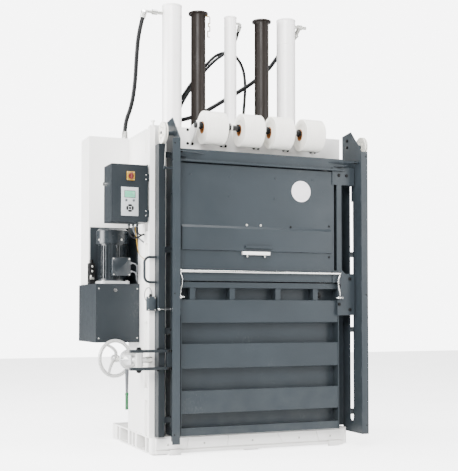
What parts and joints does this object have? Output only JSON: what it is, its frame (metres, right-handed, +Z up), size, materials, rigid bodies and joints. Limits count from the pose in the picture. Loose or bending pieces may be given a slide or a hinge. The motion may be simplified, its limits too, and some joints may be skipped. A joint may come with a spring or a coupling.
{
  "type": "recycling baler",
  "caption": "Vertical recycling baler with swinging bale door, sliding fill gate, twin-cylinder ram, power unit and strap rolls.",
  "frame": {"origin": "on the floor under the middle of the skid", "axes": "+Z up, +X to the right when facing the door, +Y to the rear"},
  "size_m": [2.0233, 1.16, 3.326],
  "materials": {
    "white_paint": "smooth light enamel",
    "slate_paint": "satin slate grey enamel",
    "dark_paint": "satin dark grey enamel",
    "cylinder_paint": "smooth light enamel",
    "guide_bronze": "semi-gloss dark brown",
    "motor_paint": "satin blue grey",
    "bright_steel": "polished",
    "plain_steel": "machined",
    "brass": "dull",
    "black_plastic": "matt",
    "yellow_plastic": "gloss",
    "red_plastic": "gloss",
    "keypad_film": "matt film",
    "strap": "woven strap",
    "hose_rubber": "satin rubber",
    "cast_light": "light painted casting",
    "pulley_plastic": "off-white"
  },
  "bodies": {
    "frame": {"base_frame": "white_paint", "sill_plates": "white_paint", "side_wall_left": "white_paint", "side_wall_right": "white_paint", "rear_wall": "white_paint", "top_beam": "white_paint", "press_cylinders": "cylinder_paint", "hydraulic_housing": "white_paint", "motor_guard": "dark_paint", "valve_block": "black_plastic", "power_cabinet": "dark_paint", "power_cover": "dark_paint", "oil_tank": "dark_paint", "motor_body": "motor_paint", "motor_cowl": "motor_paint", "terminal_box": "motor_paint", "control_cabinet": "dark_paint", "roll_bar": "white_paint", "hose_left": "hose_rubber", "hose_arch": "hose_rubber", "hose_return": "hose_rubber", "hose_right": "hose_rubber", "hose_fittings": "bright_steel", "limit_switch": "motor_paint", "hinge_brackets": "white_paint"},
    "cover_lock": {"cover_lock": "bright_steel"},
    "fan": {"motor_fan": "plain_steel"},
    "control_lid": {"control_door": "dark_paint", "keypad_panel": "keypad_film", "main_switch_plate": "yellow_plastic"},
    "main_switch": {"main_switch_handle": "red_plastic"},
    "side_lock": {"side_lock": "bright_steel"},
    "plunger": {"switch_plunger": "bright_steel"},
    "roll_1": {"strap_roll_1": "strap"},
    "roll_2": {"strap_roll_2": "strap"},
    "roll_3": {"strap_roll_3": "strap"},
    "roll_4": {"strap_roll_4": "strap"},
    "ram": {"ram_platen": "slate_paint", "cylinder_rods": "bright_steel", "guide_tubes": "guide_bronze", "level_cam": "brass"},
    "door": {"door_plate_left": "slate_paint", "door_plate_right": "slate_paint", "lower_door": "slate_paint", "top_rail": "slate_paint", "weight_tubes": "dark_paint", "door_hinges": "slate_paint", "lock_arms": "dark_paint", "gate_ropes": "bright_steel", "weight_ropes": "bright_steel"},
    "gate": {"gate_panel": "slate_paint", "gate_carriage_left": "slate_paint", "gate_carriage_right": "slate_paint", "gate_handle": "white_paint"},
    "bail": {"safety_bar": "bright_steel"},
    "pulleys": {"rope_pulleys": "pulley_plastic"},
    "weights": {"counterweights": "plain_steel"},
    "lock": {"lock_casting": "cast_light"},
    "wheel": {"handwheel": "cast_light"},
    "lever": {"lock_lever": "plain_steel"}
  },
  "joints": [
    {"name": "door_swing", "type": "hinge", "parent": "frame", "child": "door", "pos_m": [0.835, -0.385, 1.15], "axis": [0, 0, 1], "range_deg": [0, 110]},
    {"name": "gate_slide", "type": "slide", "parent": "door", "child": "gate", "axis": [0, 0, 1], "range_m": [-0.72, 0], "deforming": ["gate_ropes"]},
    {"name": "weight_slide", "type": "slide", "parent": "door", "child": "weights", "axis": [0, 0, 1], "range_m": [0, 0.72], "deforming": ["weight_ropes"]},
    {"name": "pulley_spin", "type": "hinge", "parent": "door", "child": "pulleys", "pos_m": [0.0805, -0.545, 2.255], "axis": [1, 0, 0], "continuous": true},
    {"name": "bail_tilt", "type": "hinge", "parent": "gate", "child": "bail", "pos_m": [0.02, -0.606, 1.108], "axis": [1, 0, 0], "range_deg": [0, 15], "stiffness_Nm_per_rad": 40},
    {"name": "ram_slide", "type": "slide", "parent": "frame", "child": "ram", "axis": [0, 0, 1], "range_m": [-0.9, 0]},
    {"name": "fan_spin", "type": "hinge", "parent": "frame", "child": "fan", "pos_m": [-0.949, -0.08, 1.5], "axis": [0, 0, 1], "continuous": true},
    {"name": "control_door_swing", "type": "hinge", "parent": "frame", "child": "control_lid", "pos_m": [-0.798, -0.474, 1.83], "axis": [0, 0, 1], "range_deg": [0, 90]},
    {"name": "main_switch_turn", "type": "hinge", "parent": "control_lid", "child": "main_switch", "pos_m": [-0.93, -0.5, 1.947], "axis": [0, 1, 0], "range_deg": [0, 90]},
    {"name": "side_lock_turn", "type": "hinge", "parent": "frame", "child": "side_lock", "pos_m": [-1.079, -0.31, 1.905], "axis": [1, 0, 0], "range_deg": [0, 90]},
    {"name": "cover_lock_turn", "type": "hinge", "parent": "frame", "child": "cover_lock", "pos_m": [-0.965, -0.225, 1.16], "axis": [0, 1, 0], "range_deg": [0, 90]},
    {"name": "plunger_press", "type": "slide", "parent": "frame", "child": "plunger", "axis": [-1, 0, 0], "range_m": [0, 0.004], "stiffness_N_per_m": 400},
    {"name": "lock_swing", "type": "hinge", "parent": "door", "child": "lock", "pos_m": [-0.898, -0.581, 0.674], "axis": [0, 0, 1], "range_deg": [0, 75]},
    {"name": "wheel_spin", "type": "hinge", "parent": "lock", "child": "wheel", "pos_m": [-0.898, -0.581, 0.674], "axis": [-0.2571, 0.9664, 0], "continuous": true},
    {"name": "lever_swing", "type": "hinge", "parent": "lock", "child": "lever", "pos_m": [-0.898, -0.581, 0.674], "axis": [-0.2571, 0.9664, 0], "range_deg": [-15, 40]},
    {"name": "roll_spin_1", "type": "hinge", "parent": "frame", "child": "roll_1", "pos_m": [-0.334, -0.52, 2.318], "axis": [1, 0, 0], "continuous": true},
    {"name": "roll_spin_2", "type": "hinge", "parent": "frame", "child": "roll_2", "pos_m": [-0.0475, -0.52, 2.318], "axis": [1, 0, 0], "continuous": true},
    {"name": "roll_spin_3", "type": "hinge", "parent": "frame", "child": "roll_3", "pos_m": [0.192, -0.52, 2.318], "axis": [1, 0, 0], "continuous": true},
    {"name": "roll_spin_4", "type": "hinge", "parent": "frame", "child": "roll_4", "pos_m": [0.445, -0.52, 2.318], "axis": [1, 0, 0], "continuous": true}
  ],
  "couplings": [
    {"joint": "weight_slide", "follows": "gate_slide", "ratio": -1},
    {"joint": "pulley_spin", "follows": "gate_slide", "rad_per_m": -14.085}
  ]
}
